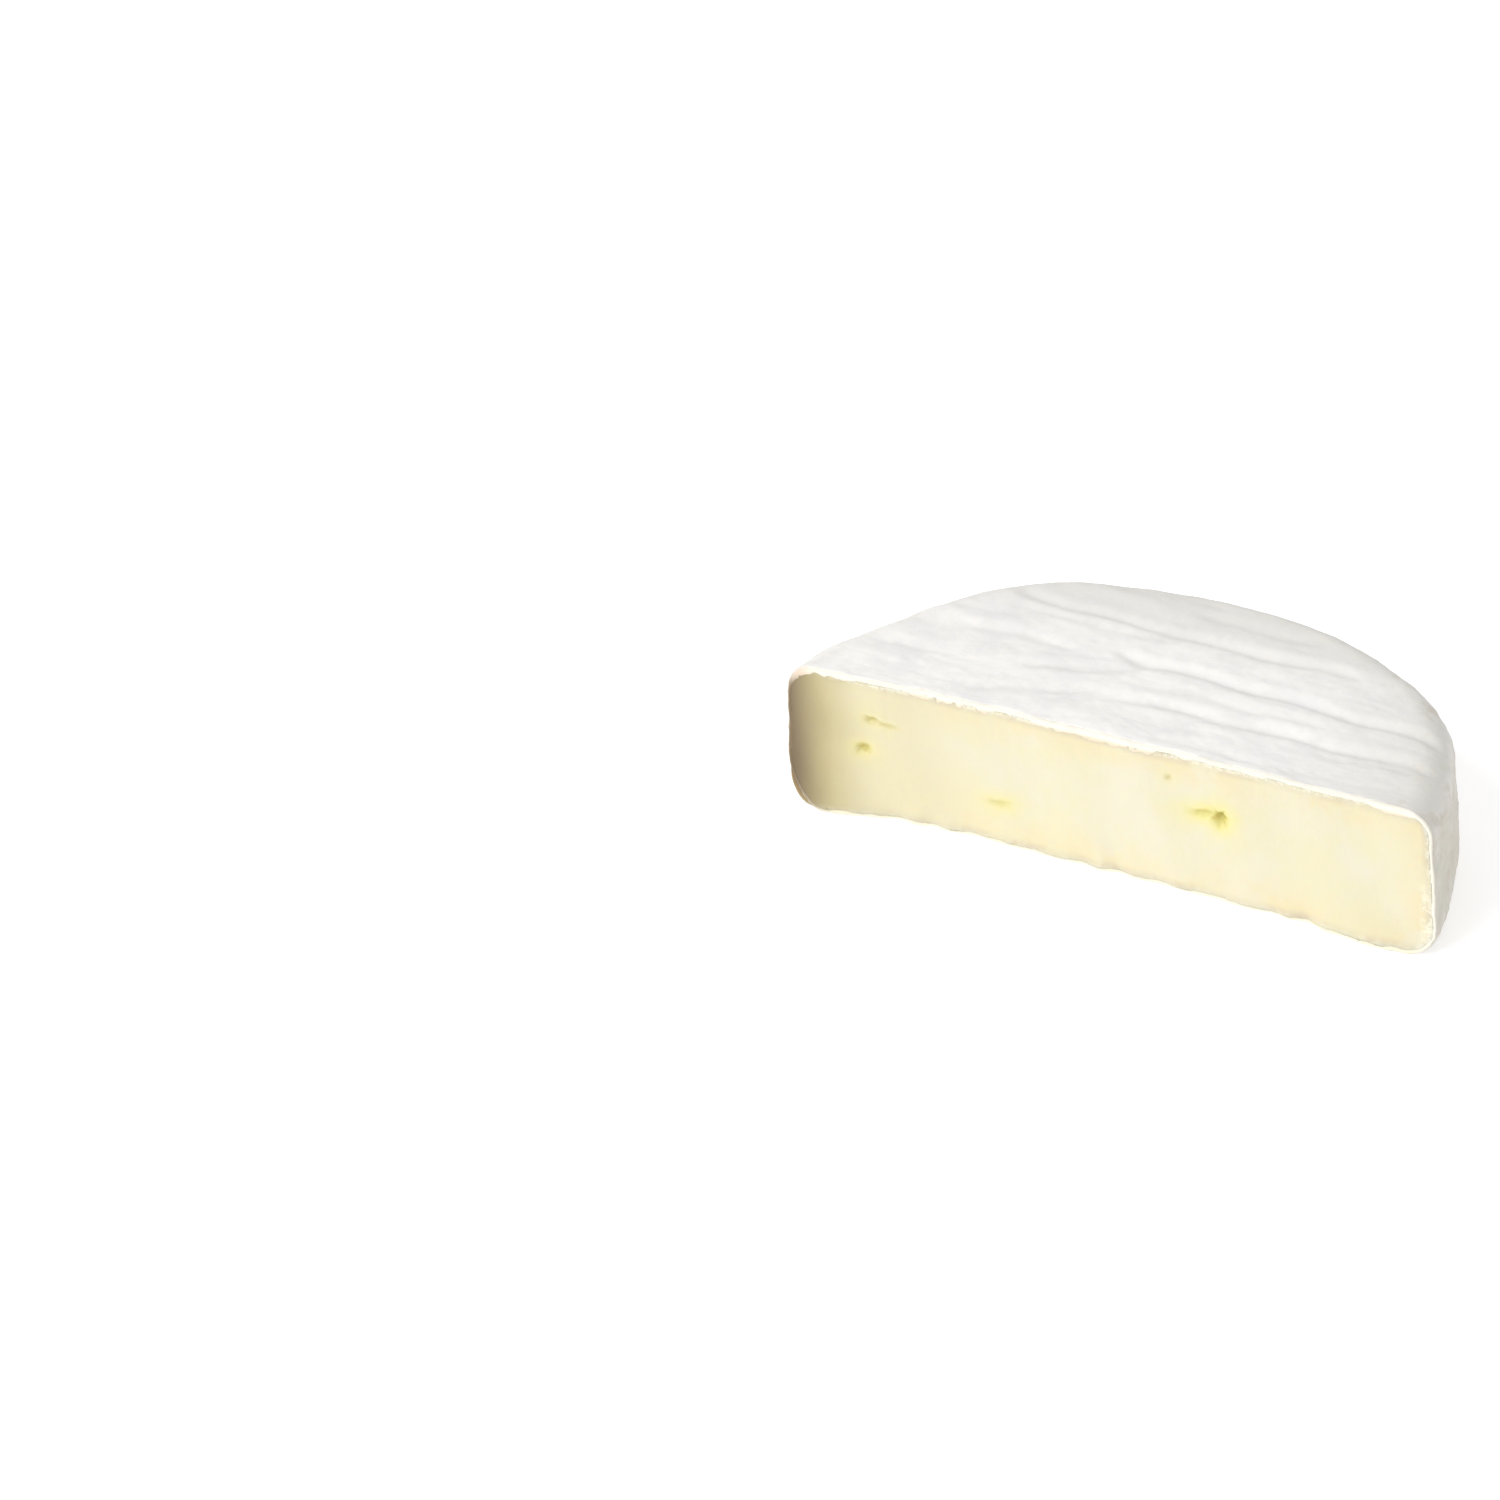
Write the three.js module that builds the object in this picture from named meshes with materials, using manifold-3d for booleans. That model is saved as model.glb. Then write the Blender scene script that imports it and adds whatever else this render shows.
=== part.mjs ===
// Half of a small soft-ripened cheese wheel, lying on its base with the cut standing upright.
// Millimetres. X runs along the cut, Y from the cut into the cheese, Z up.
// It rests at z = 0, and its origin is under the middle of its bounding box.
import * as THREE from "three";
import { mergeVertices } from "three/addons/utils/BufferGeometryUtils.js";
import Module from "manifold-3d";

// Sizes of the wheel the half was cut from.
const WHEEL_RADIUS = 57;
const HEIGHT = 25.4;
const SHORT_OF_HALF = 1; // the blade passed this far to one side of the centre
const TOP_RIM = 5.6; // radius of the soft upper edge
const BASE_RIM = 4.7; // radius of the lower edge
const LEFT_TUCK = { extra: 3.2, spread: 0.45 }; // the lower edge is rounder at the left end, over this angle
const TAPER = 0.7; // the wall stands this much further out at the base than at the top
const SLUMP = 1.45; // the top has slid this far towards -X

// How the outline strays from a circle: each wave's number of lobes, height, and the angle of a crest.
const OUTLINE_WAVES = [
  { lobes: 3, height: 0.18, crest: -24 },
  { lobes: 4, height: 0.18, crest: 33 },
  { lobes: 5, height: 0.68, crest: -23 },
  { lobes: 6, height: 0.42, crest: -3 },
  { lobes: 7, height: 0.55, crest: -21 },
];

// Creases across the top, left by the rack it ripened on: chord ends, bow sideways, and depth.
const CREASES = [
  { from: [-34.5, 38.6], to: [27, 36.6], bow: -1, depth: 0.5 },
  { from: [-39, 23.8], to: [-18, 24.8], bow: 0.3, depth: 0.35 },
  { from: [-10, 25.8], to: [48, 21.6], bow: 0.7, depth: 0.55 },
  { from: [-23, 14.8], to: [-4, 24.4], bow: -0.5, depth: 0.4 },
  { from: [-27, 3.8], to: [-9, 12.2], bow: 0.8, depth: 0.25 },
  { from: [-6, 12.6], to: [49, 12.6], bow: 0.4, depth: 0.45 },
  { from: [-21, 48.6], to: [-1, 49.2], bow: 0.3, depth: 0.3 },
  { from: [-4, 44.8], to: [18, 45], bow: -0.8, depth: 0.3 },
  { from: [-48, 11.8], to: [-39, 13.2], bow: 0.5, depth: 0.3 },
  { from: [5, 2.8], to: [33, 2.6], bow: -0.3, depth: 0.2 },
  { from: [-33, 34.2], to: [-4, 33.6], bow: -0.5, depth: 0.25 },
  { from: [34, 8.6], to: [47, 11.4], bow: 0.6, depth: 0.25 },
  { from: [-44, 29.6], to: [-30, 31.4], bow: -0.3, depth: 0.2 },
  { from: [-2, 18.4], to: [28, 17.8], bow: 0.3, depth: 0.15 },
];
const CREASE_WIDTH = 1.4; // half width of a crease, where it is a third as deep
const CREASE_WANDER = { reach: 0.45, length: 19 }; // how far a crease strays from its line, and how often
const CREASE_END = 5; // length over which a crease runs out at each end
const CREASE_LIP = { height: 0.3, offset: 2.6, width: 1.2 }; // the lip behind it, as a share of its depth

// Broad swells of the top, in rows along the cut that bend and fade along their length.
const TOP_SWELL = { height: 0.18, spacing: 12, bend: 0.9, bendLength: 90, fadeLength: 105 };

// Soft lumps in the wall: how many go round the wheel, how much they lean, their height and turn.
const WALL_LUMPS = [
  { lobes: 11, lean: 0.3, height: 0.18, turn: 0 },
  { lobes: 17, lean: -0.45, height: 0.13, turn: 1.3 },
];

// Shape of the cut.
const SWELL = { start: -19, length: 45, atTop: 1.9, atBase: 2.3 }; // the left end leans out of the cut
const FEET = [
  { middle: -50, spread: 8, reach: 2.4, height: 9 }, // the soft foot at each end
  { middle: 46, spread: 8, reach: 2.2, height: 7 },
];
const ROLLED_END = { start: -51, length: 7, depth: 1 }; // the left edge is rolled back
const BLADE_DRAG = { height: 0.14, spacing: 15, lean: 0.13 }; // the waves the blade left in the paste
const BASE_RAGGED = { reach: 0.3, spacing: 11, band: 2.5, uneven: 2.6 }; // tears along its lower edge

// Eyes in the cut: place along it and up it, half width, half height, depth, and tilt in degrees.
const EYES = [
  { x: -42.9, z: 17.6, wide: 1.5, tall: 0.75, deep: 0.8, tilt: -4 },
  { x: -40.2, z: 17.3, wide: 2.2, tall: 0.5, deep: 0.4, tilt: -4 },
  { x: -44.2, z: 12, wide: 1.4, tall: 0.9, deep: 1, tilt: 10 },
  { x: -19.8, z: 7.7, wide: 2.2, tall: 0.7, deep: 0.35, tilt: 6 },
  { x: 9.6, z: 20.2, wide: 0.7, tall: 0.7, deep: 0.4, tilt: 0 },
  { x: 16.2, z: 15.3, wide: 2.5, tall: 0.8, deep: 0.7, tilt: 8 },
  { x: 18.7, z: 15, wide: 1.5, tall: 1.4, deep: 1.6, tilt: -30 },
];

// Facets: how many across, deep and tall, on a block that becomes the half wheel.
const ACROSS = 50;
const DEEP = 32;
const TALL = 10;
const EYE_SIDES = 12;
const EYE_RINGS = 8;
const FADE_INWARD = 6; // power by which the relief of the wall and of the cut dies away inside
const MERGE_WITHIN = 1e-4;

const smooth = (from, to, value) => THREE.MathUtils.smoothstep(value, from, to);
const hump = (offset, halfWidth) => Math.exp(-((offset / halfWidth) ** 2));
const blend = (from, to, share) => from.clone().lerp(to, share);
const ripple = (place, spacing, shift) => Math.sin((2 * Math.PI * place) / spacing + shift);

// Radius of the wheel's base in the direction of an angle.
function outline(around) {
  let radius = WHEEL_RADIUS;
  for (const { lobes, height, crest } of OUTLINE_WAVES)
    radius += height * Math.cos(lobes * (around - THREE.MathUtils.degToRad(crest)));
  return radius;
}

// Radius of the lower edge in the direction of an angle.
const lowerRim = (around) => BASE_RIM + LEFT_TUCK.extra * hump(around - Math.PI, LEFT_TUCK.spread);

// How far a round edge has fallen away, at a distance past the point where it starts.
function roundOff(past, radius) {
  if (past <= 0) return 0;
  return radius - Math.sqrt(Math.max(radius ** 2 - past ** 2, 0));
}

// A point of the upright section from the axis to the wall, as (distance from the axis, height).
// base and rim are the wheel's radius at the base and its lower edge's radius in that direction.
// inward runs from 0 at the axis to 1 at the wall, and upward from 0 at the base to 1 at the top.
function section(base, rim, inward, upward) {
  const top = base - TAPER;
  const corner = 1 - Math.SQRT1_2; // the round edges meet the flat and the wall half way
  const topPoint = (share) => {
    const reach = share * (top - TOP_RIM * corner);
    return new THREE.Vector2(reach, HEIGHT - roundOff(reach - top + TOP_RIM, TOP_RIM));
  };
  const basePoint = (share) => {
    const reach = share * (base - rim * corner);
    return new THREE.Vector2(reach, roundOff(reach - base + rim, rim));
  };
  const wallPoint = (share) => {
    const low = rim * corner;
    const height = low + share * (HEIGHT - TOP_RIM * corner - low);
    const lean = TAPER * THREE.MathUtils.clamp((height - rim) / (HEIGHT - TOP_RIM - rim), 0, 1);
    const fallen = roundOff(rim - height, rim) + roundOff(height - HEIGHT + TOP_RIM, TOP_RIM);
    return new THREE.Vector2(base - lean - fallen, height);
  };
  const axisPoint = (share) => new THREE.Vector2(0, share * HEIGHT);
  const upAndDown = blend(basePoint(inward), topPoint(inward), upward);
  const inAndOut = blend(axisPoint(upward), wallPoint(upward), inward);
  const low = blend(axisPoint(0), wallPoint(0), inward);
  const high = blend(axisPoint(1), wallPoint(1), inward);
  return upAndDown.add(inAndOut).sub(blend(low, high, upward));
}

// Depth of one crease at a place on the top.
function creaseDepth({ from, to, bow, depth }, x, y) {
  const start = new THREE.Vector2(...from);
  const along = new THREE.Vector2(...to).sub(start);
  const length = along.length();
  along.divideScalar(length);
  const offset = new THREE.Vector2(x, y).sub(start);
  const travel = offset.dot(along);
  const share = THREE.MathUtils.clamp(travel / length, 0, 1);
  const wander = CREASE_WANDER.reach * ripple(x, CREASE_WANDER.length, start.y);
  const aside = along.cross(offset) - bow * 4 * share * (1 - share) - wander;
  const runOut = (left) => smooth(-CREASE_END / 2, CREASE_END / 2, left);
  const lip = CREASE_LIP.height * hump(aside - CREASE_LIP.offset, CREASE_LIP.width);
  return depth * runOut(travel) * runOut(length - travel) * (hump(aside, CREASE_WIDTH) - lip);
}

// Relief of the top: creases, with broad swells between them.
function topRelief(x, y) {
  const { height, spacing, bend, bendLength, fadeLength } = TOP_SWELL;
  let rise = height * ripple(y, spacing, bend * ripple(x, bendLength, 0)) * ripple(x + 2 * y, fadeLength, 1);
  for (const crease of CREASES) rise -= creaseDepth(crease, x, y);
  return rise;
}

// Relief of the wall: soft lumps that fade out towards the flat faces.
function wallRelief(around, height) {
  let rise = 0;
  for (const lump of WALL_LUMPS)
    rise += lump.height * Math.sin(lump.lobes * around + lump.lean * height + lump.turn);
  return rise * smooth(0, BASE_RIM, height) * smooth(0, TOP_RIM, HEIGHT - height);
}

// Where the cut's surface lies in Y, for a place along it and up it.
function cutLine(x, z) {
  const up = THREE.MathUtils.clamp(z / HEIGHT, 0, 1);
  const leaning = smooth(0, SWELL.length, SWELL.start - x);
  let y = -leaning * THREE.MathUtils.lerp(SWELL.atBase, SWELL.atTop, up);
  for (const { middle, spread, reach, height } of FEET)
    y -= reach * hump(x - middle, spread) * Math.max(1 - z / height, 0) ** 2;
  y += ROLLED_END.depth * Math.max((ROLLED_END.start - x) / ROLLED_END.length, 0) ** 2;
  y += BLADE_DRAG.height * ripple(x, BLADE_DRAG.spacing, BLADE_DRAG.lean * z);
  const { reach: torn, spacing, band, uneven } = BASE_RAGGED;
  y += torn * hump(z, band) * ripple(x, spacing, uneven * ripple(x, 3 * spacing, 0));
  return y;
}

// Moves each corner of a square block to its place on the half wheel.
function halfWheel() {
  const block = new THREE.BoxGeometry(2, 1, 1, ACROSS, DEEP, TALL).translate(0, 0.5, 0.5);
  const places = block.getAttribute("position");
  const corner = new THREE.Vector3();
  for (let i = 0; i < places.count; i++) {
    corner.fromBufferAttribute(places, i);
    // The rectangle of the plan is rounded to a half disc.
    const across = corner.x * Math.sqrt(1 - corner.y ** 2 / 2);
    const deep = corner.y * Math.sqrt(1 - corner.x ** 2 / 2);
    const around = Math.atan2(deep, across);
    const inward = Math.min(Math.hypot(across, deep), 1);
    const { x: reach, y: height } = section(outline(around), lowerRim(around), inward, corner.z);
    const radius = reach + wallRelief(around, height) * inward ** FADE_INWARD;
    const x = radius * Math.cos(around) - SLUMP * (height / HEIGHT);
    const y = radius * Math.sin(around) * (1 - SHORT_OF_HALF / WHEEL_RADIUS);
    const z = height + topRelief(x, y) * smooth(HEIGHT - TOP_RIM, HEIGHT, height);
    places.setXYZ(i, x, y + cutLine(x, z) * (1 - corner.y) ** FADE_INWARD, z);
  }
  return block;
}

// A hollow left by a bubble of gas, as a squashed ball set in the cut.
function eye({ x, z, wide, tall, deep, tilt }) {
  return new THREE.SphereGeometry(1, EYE_SIDES, EYE_RINGS)
    .scale(wide, deep, tall)
    .rotateY(THREE.MathUtils.degToRad(tilt))
    .translate(x, cutLine(x, z), z);
}

const wasm = await Module();
wasm.setup();

// A closed geometry as a solid that can be cut.
function solid(geometry) {
  const bare = new THREE.BufferGeometry().setIndex(geometry.index);
  bare.setAttribute("position", geometry.getAttribute("position"));
  const merged = mergeVertices(bare, MERGE_WITHIN);
  return new wasm.Manifold(
    new wasm.Mesh({
      numProp: 3,
      vertProperties: merged.getAttribute("position").array,
      triVerts: new Uint32Array(merged.index.array),
    }),
  );
}

// The geometry of a solid.
function geometryOf(made) {
  const { vertProperties, triVerts } = made.getMesh();
  const geometry = new THREE.BufferGeometry()
    .setAttribute("position", new THREE.BufferAttribute(vertProperties, 3))
    .setIndex(new THREE.BufferAttribute(triVerts, 1));
  geometry.computeVertexNormals();
  return geometry;
}

let cheese = solid(halfWheel());
for (const hollow of EYES) cheese = cheese.subtract(solid(eye(hollow)));

const shape = geometryOf(cheese);
shape.computeBoundingBox();
const middle = shape.boundingBox.getCenter(new THREE.Vector3());

const half = new THREE.Mesh(
  shape,
  new THREE.MeshStandardMaterial({ color: 0xf3efe0, roughness: 0.75, metalness: 0 }),
);
half.name = "camembert_half";
half.position.set(-middle.x, -middle.y, 0);

const group = new THREE.Group();
group.add(half);

export default group;
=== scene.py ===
"""Looks of a half camembert: a white mould rind round a soft cream paste.

Forms are in millimetres, as the construction gives them: X along the cut, Y from the cut into the
cheese, Z up. Finished meshes are in metres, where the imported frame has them.
"""
import logging
import math
from dataclasses import dataclass, field, replace
from enum import Enum

import bmesh
import bpy
import numpy as np
from mathutils import Matrix, Vector, noise


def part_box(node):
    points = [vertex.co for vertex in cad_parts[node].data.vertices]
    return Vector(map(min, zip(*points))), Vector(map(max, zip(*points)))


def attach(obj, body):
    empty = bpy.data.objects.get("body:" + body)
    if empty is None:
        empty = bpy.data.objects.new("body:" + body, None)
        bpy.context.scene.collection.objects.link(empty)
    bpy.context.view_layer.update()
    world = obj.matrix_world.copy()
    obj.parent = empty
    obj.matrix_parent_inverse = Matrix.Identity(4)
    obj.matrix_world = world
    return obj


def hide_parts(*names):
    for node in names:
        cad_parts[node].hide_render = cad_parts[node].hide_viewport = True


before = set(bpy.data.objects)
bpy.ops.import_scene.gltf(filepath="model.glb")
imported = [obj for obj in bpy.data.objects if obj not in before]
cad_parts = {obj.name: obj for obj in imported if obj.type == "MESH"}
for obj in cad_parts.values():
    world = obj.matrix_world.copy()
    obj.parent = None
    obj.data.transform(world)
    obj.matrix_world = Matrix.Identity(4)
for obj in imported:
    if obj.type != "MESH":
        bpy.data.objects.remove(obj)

log = logging.getLogger("camembert")

MM = 0.001
NODE = "camembert_half"
BODY = "root"
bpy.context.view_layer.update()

Array = np.ndarray
Triple = tuple[float, float, float]
Colour = tuple[float, float, float, float]
Edges = list[bmesh.types.BMEdge]
Layers = dict[str, Array]
Node = bpy.types.Node
NodeTree = bpy.types.NodeTree
Socket = bpy.types.NodeSocket
Inputs = dict[str | int, object]

# The form.
FULL_HEIGHT = 25.4
FULL_RADIUS = 57.0
SHORT_OF_HALF = 1.0
TOP_SLIDE = 1.45
FADE_INWARD = 6

# Fractal roughness: how fast its finer lumps grow fainter, and how much finer each layer is.
ROUGH_FADE = 0.7
ROUGH_FINER = 2.0

# Blocks: what counts as no distance, facets of the sides that stay hidden, and of a block only measured.
NO_DISTANCE = 1e-5
HIDDEN_FACETS = (56, 22, 8)
HIDDEN_GAP = 0.02
MEASURED_FACETS = (50, 25, 10)

# Materials: the shader's name, a mix node's sockets, a noise's middle value, and the bumps' strength.
SHADER = "Principled BSDF"
MIX_FROM = 6
MIX_TO = 7
MIXED = 2
NOISE_MIDDLE = 0.5
BUMP_STRENGTH = 0.25
FULL_WHITE = (1.0, 1.0, 1.0, 1.0)


def linear(red: int, green: int, blue: int) -> Colour:
    """Turns a screen colour of 0 to 255 into the renderer's linear one, by the sRGB formula."""
    shares = (value / 255 for value in (red, green, blue))
    return (*(s / 12.92 if s <= 0.04045 else ((s + 0.055) / 1.055) ** 2.4 for s in shares), 1.0)


def smooth(start: float | Array, end: float, value: Array) -> Array:
    """Rises softly from 0 at start to 1 at end."""
    share = np.clip((value - start) / (end - start), 0.0, 1.0)
    return share * share * (3.0 - 2.0 * share)


def hump(offset: Array, half_width: float) -> Array:
    """A round hump of height 1, a third as high at its half width."""
    return np.exp(-((offset / half_width) ** 2))


def ripple(place: Array, spacing: float, shift: Array | float) -> Array:
    """A wave along a line, from -1 to 1."""
    return np.sin(2.0 * math.pi * place / spacing + shift)


def arch(share: Array) -> Array:
    """An arch that is 0 where the share is 0 or 1, and 1 half way."""
    return 4.0 * share * (1.0 - share)


def round_off(past: Array, radius: float | Array) -> Array:
    """How far a round edge has fallen away, at a distance past the point where it starts."""
    fallen = radius - np.sqrt(np.maximum(radius**2 - past**2, 0.0))
    return np.where(past > 0.0, fallen, 0.0)


def on_cut(corners: Array) -> Array:
    """Whether corners of a block are on the side that becomes the cut."""
    return corners[:, 1] < NO_DISTANCE


@dataclass(frozen=True)
class Ramp:
    """A soft rise from 0 at its start to 1 at its end, which may be the lower of the two."""

    start: float
    end: float

    def at(self, value: Array) -> Array:
        """How far the rise has come at a value."""
        return smooth(self.start, self.end, value)


@dataclass(frozen=True)
class Rough:
    """A fractal roughness: its broadest lumps along X, Y and Z, its layers, and where it starts."""

    spacing: Triple
    layers: int
    shift: float

    def at(self, places: Array) -> Array:
        """Works out the roughness at places.

        Args:
            places: Points in millimetres, one to a row.

        Returns:
            A value for each place, mostly between -1 and 1.
        """
        stretched = places / np.array(self.spacing) + self.shift
        return np.array([noise.fractal(Vector(p), ROUGH_FADE, ROUGH_FINER, self.layers) for p in stretched])


@dataclass(frozen=True)
class Wave:
    """One wave of the outline: lobes round the wheel, height, and the angle of a crest in degrees."""

    lobes: int
    height: float
    crest: float


@dataclass(frozen=True)
class Crease:
    """A crease of the top: the ends of its chord, its bow sideways, and its depth."""

    start: tuple[float, float]
    end: tuple[float, float]
    bow: float
    depth: float


@dataclass(frozen=True)
class Lump:
    """Soft lumps of the wall: how many go round the wheel, their lean, height and turn."""

    lobes: int
    lean: float
    height: float
    turn: float


@dataclass(frozen=True)
class Foot:
    """A soft foot of the cut at its base."""

    middle: float
    spread: float
    reach: float
    height: float


@dataclass(frozen=True)
class Eye:
    """A gas hole in the cut: place, half width, half height, depth, tilt in degrees, and yellow round it."""

    x: float
    z: float
    wide: float
    tall: float
    deep: float
    tilt: float
    yellow: float

    def away(self, x: Array, z: Array, wider: float, taller: float) -> Array:
        """How far places are from the middle, with 1 at the edge of an eye that much wider and taller."""
        tilt = math.radians(self.tilt)
        along = (x - self.x) * math.cos(tilt) + (z - self.z) * math.sin(tilt)
        up = (z - self.z) * math.cos(tilt) - (x - self.x) * math.sin(tilt)
        return np.hypot(along / (self.wide + wider), up / (self.tall + taller))


OUTLINE_WAVES = (
    Wave(3, 0.18, -24),
    Wave(4, 0.18, 33),
    Wave(5, 0.68, -23),
    Wave(6, 0.42, -3),
    Wave(7, 0.55, -21),
)
CREASES = (
    Crease((-34.5, 38.6), (27, 36.6), -1.0, 0.5),
    Crease((-39, 23.8), (-18, 24.8), 0.3, 0.35),
    Crease((-10, 25.8), (48, 21.6), 0.7, 0.55),
    Crease((-23, 14.8), (-4, 24.4), -0.5, 0.4),
    Crease((-27, 3.8), (-9, 12.2), 0.8, 0.25),
    Crease((-6, 12.6), (49, 12.6), 0.4, 0.45),
    Crease((-21, 48.6), (-1, 49.2), 0.3, 0.3),
    Crease((-4, 44.8), (18, 45), -0.8, 0.3),
    Crease((-48, 11.8), (-39, 13.2), 0.5, 0.3),
    Crease((5, 2.8), (33, 2.6), -0.3, 0.2),
    Crease((-33, 34.2), (-4, 33.6), -0.5, 0.25),
    Crease((34, 8.6), (47, 11.4), 0.6, 0.25),
    Crease((-44, 29.6), (-30, 31.4), -0.3, 0.2),
    Crease((-2, 18.4), (28, 17.8), 0.3, 0.15),
)
DEEPEST_CREASE = max(crease.depth for crease in CREASES)
WALL_LUMPS = (Lump(11, 0.3, 0.18, 0.0), Lump(17, -0.45, 0.13, 1.3))
FEET = (Foot(-50, 8, 2.4, 9), Foot(46, 8, 2.2, 7))
EYES = (
    Eye(-42.9, 17.6, 1.5, 0.75, 0.8, -4, 0.2),
    Eye(-40.2, 17.3, 2.2, 0.5, 0.4, -4, 0.1),
    Eye(-44.2, 12.0, 1.4, 0.9, 1.0, 10, 0.4),
    Eye(-19.8, 7.7, 2.2, 0.7, 0.35, 6, 0.5),
    Eye(9.6, 20.2, 0.7, 0.7, 0.4, 0, 0.2),
    Eye(16.2, 15.3, 2.5, 0.8, 0.7, 8, 0.8),
    Eye(18.7, 15.0, 1.5, 1.4, 1.6, -30, 0.9),
)


@dataclass(frozen=True)
class TopSwell:
    """Broad swells of the top, in rows along the cut that bend and fade along their length."""

    height: float = 0.18
    spacing: float = 12.0
    bend: float = 0.9
    bend_length: float = 90.0
    fade_length: float = 105.0
    fade_skew: float = 2.0
    fade_shift: float = 1.0

    def rise(self, x: Array, y: Array) -> Array:
        """Height of the swells at places on the top."""
        bent = self.bend * ripple(x, self.bend_length, 0.0)
        fading = ripple(x + self.fade_skew * y, self.fade_length, self.fade_shift)
        return self.height * ripple(y, self.spacing, bent) * fading


@dataclass(frozen=True)
class Cut:
    """The surface of the cut: its leaning left end, feet, rolled left edge, blade marks and torn base."""

    lean_start: float = -19.0
    lean_length: float = 45.0
    lean_at_top: float = 1.9
    lean_at_base: float = 2.3
    roll_start: float = -51.0
    roll_length: float = 7.0
    roll_depth: float = 1.0
    drag_height: float = 0.14
    drag_spacing: float = 15.0
    drag_lean: float = 0.13
    torn_reach: float = 0.3
    torn_spacing: float = 11.0
    torn_band: float = 2.5
    torn_uneven: float = 2.6

    def line(self, x: Array, z: Array) -> Array:
        """Where the surface of the cut lies in Y."""
        up = np.clip(z / FULL_HEIGHT, 0.0, 1.0)
        leaning = smooth(0.0, self.lean_length, self.lean_start - x)
        line = -leaning * (self.lean_at_base + (self.lean_at_top - self.lean_at_base) * up)
        for foot in FEET:
            line -= foot.reach * hump(x - foot.middle, foot.spread) * np.maximum(1 - z / foot.height, 0) ** 2
        line += self.roll_depth * np.maximum((self.roll_start - x) / self.roll_length, 0.0) ** 2
        line += self.drag_height * ripple(x, self.drag_spacing, self.drag_lean * z)
        uneven = self.torn_uneven * ripple(x, 3 * self.torn_spacing, 0.0)
        line += self.torn_reach * hump(z, self.torn_band) * ripple(x, self.torn_spacing, uneven)
        return line


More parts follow.
